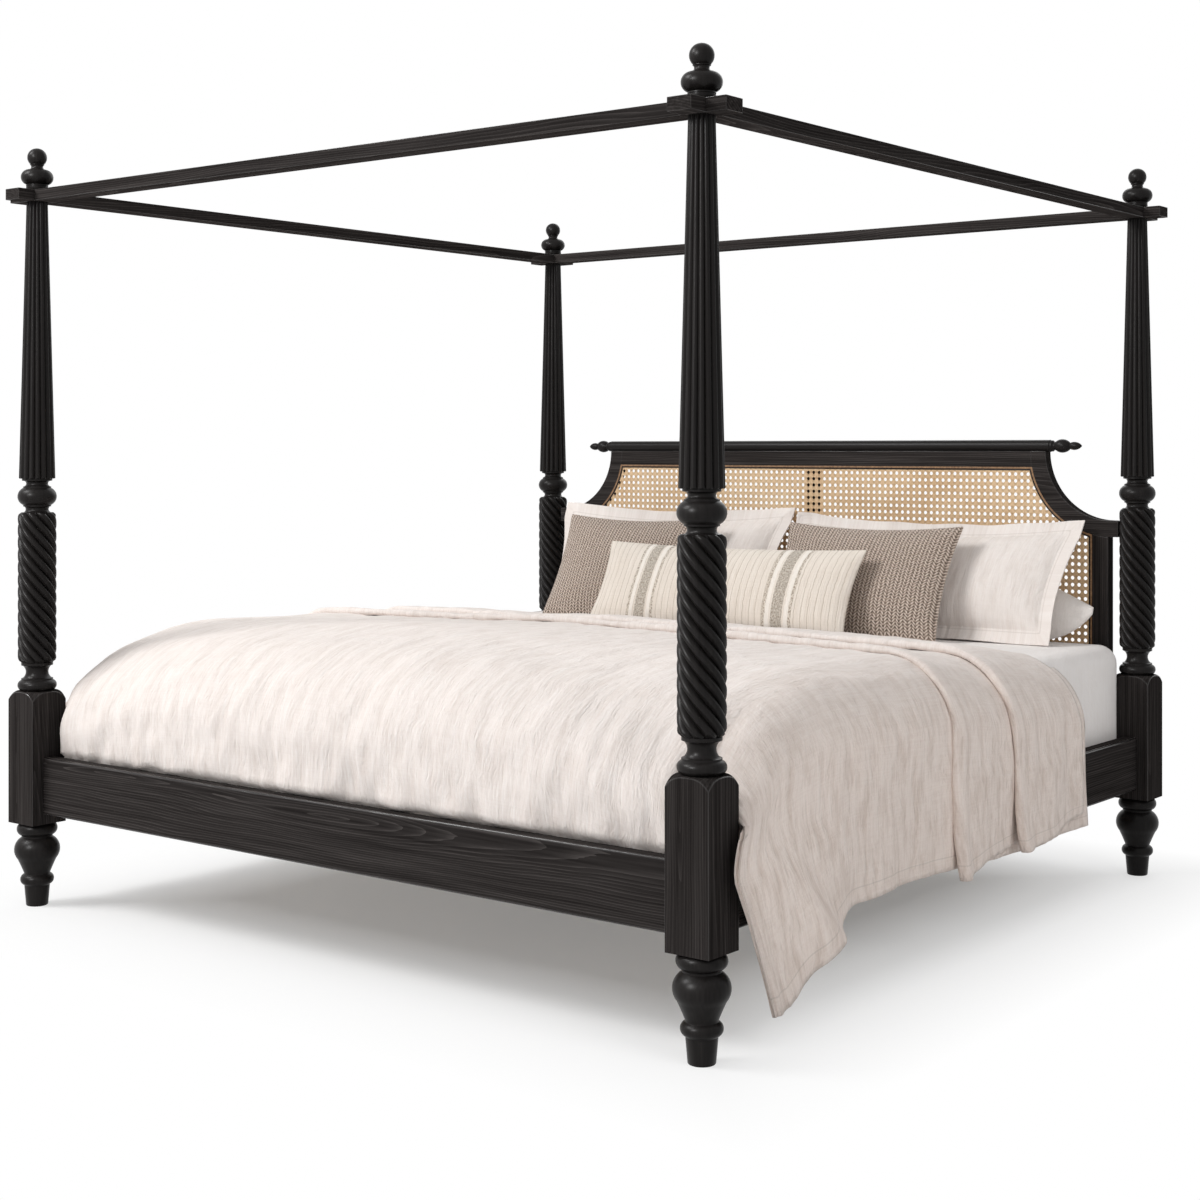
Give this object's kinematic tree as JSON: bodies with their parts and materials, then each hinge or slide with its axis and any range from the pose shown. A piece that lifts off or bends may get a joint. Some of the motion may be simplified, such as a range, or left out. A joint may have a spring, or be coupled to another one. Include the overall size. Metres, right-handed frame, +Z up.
{
  "type": "four-poster bed",
  "caption": "Black four-poster bed with rope-twist and reeded posts, flat canopy rails, a swept cane headboard and off-white linen bedding",
  "frame": {"origin": "On the floor under the middle of the bed's plan, which is the middle of its overall box", "axes": "+X to the right seen from the foot end, +Y from the foot end to the headboard, +Z up"},
  "size_m": [2.316, 2.316, 2.013],
  "materials": {
    "black_wood": "satin black stain, open grain",
    "slat_wood": "planed, unfinished",
    "steel": "zinc plated",
    "cane": "natural cane, satin",
    "cane_edge": "reed spline, satin",
    "fitted_sheet": "plain cotton",
    "linen": "slub linen",
    "pillow_cotton": "plain cotton",
    "taupe_weave": "chunky ribbed weave",
    "banded_weave": "cream weave with taupe bands"
  },
  "bodies": {
    "bed": {"bed_rail_foot": "black_wood", "bed_rail_head": "black_wood", "bed_rail_left": "black_wood", "bed_rail_right": "black_wood", "block_foot_left": "black_wood", "block_foot_right": "black_wood", "block_head_left": "black_wood", "block_head_right": "black_wood", "cane_panel": "cane", "cane_spline": "cane_edge", "canopy_rail_foot": "black_wood", "canopy_rail_head": "black_wood", "canopy_rail_left": "black_wood", "canopy_rail_right": "black_wood", "centre_beam": "slat_wood", "centre_legs": "slat_wood", "column_studs": "steel", "cushion_left": "taupe_weave", "cushion_right": "taupe_weave", "duvet": "linen", "foot_foot_left": "black_wood", "foot_foot_right": "black_wood", "foot_head_left": "black_wood", "foot_head_right": "black_wood", "foot_studs": "steel", "headboard_bottom_rail": "black_wood", "headboard_bracket_left": "black_wood", "headboard_bracket_right": "black_wood", "headboard_muntin": "black_wood", "headboard_roll": "black_wood", "headboard_stile_left": "black_wood", "headboard_stile_right": "black_wood", "headboard_top_rail": "black_wood", "lumbar_cushion": "banded_weave", "mattress": "fitted_sheet", "pillow_right": "pillow_cotton", "rail_angles": "steel", "rail_screws": "steel", "reeded_column_foot_left": "black_wood", "reeded_column_foot_right": "black_wood", "reeded_column_head_left": "black_wood", "reeded_column_head_right": "black_wood", "roll_acorn_left": "black_wood", "roll_acorn_right": "black_wood", "sham_left": "linen", "sham_right": "linen", "slat_ledgers": "slat_wood", "slats": "slat_wood", "twist_column_foot_left": "black_wood", "twist_column_foot_right": "black_wood", "twist_column_head_left": "black_wood", "twist_column_head_right": "black_wood"},
    "lift_finial_foot_left": {"finial_foot_left": "black_wood", "finial_pin_foot_left": "steel"},
    "lift_finial_foot_right": {"finial_foot_right": "black_wood", "finial_pin_foot_right": "steel"},
    "lift_finial_head_left": {"finial_head_left": "black_wood", "finial_pin_head_left": "steel"},
    "lift_finial_head_right": {"finial_head_right": "black_wood", "finial_pin_head_right": "steel"}
  },
  "joints": [
    {"name": "finial_foot_left_lift", "type": "slide", "parent": "bed", "child": "lift_finial_foot_left", "axis": [0, 0, 1], "range_m": [0, 0.09]},
    {"name": "finial_foot_right_lift", "type": "slide", "parent": "bed", "child": "lift_finial_foot_right", "axis": [0, 0, 1], "range_m": [0, 0.09]},
    {"name": "finial_head_left_lift", "type": "slide", "parent": "bed", "child": "lift_finial_head_left", "axis": [0, 0, 1], "range_m": [0, 0.09]},
    {"name": "finial_head_right_lift", "type": "slide", "parent": "bed", "child": "lift_finial_head_right", "axis": [0, 0, 1], "range_m": [0, 0.09]}
  ]
}
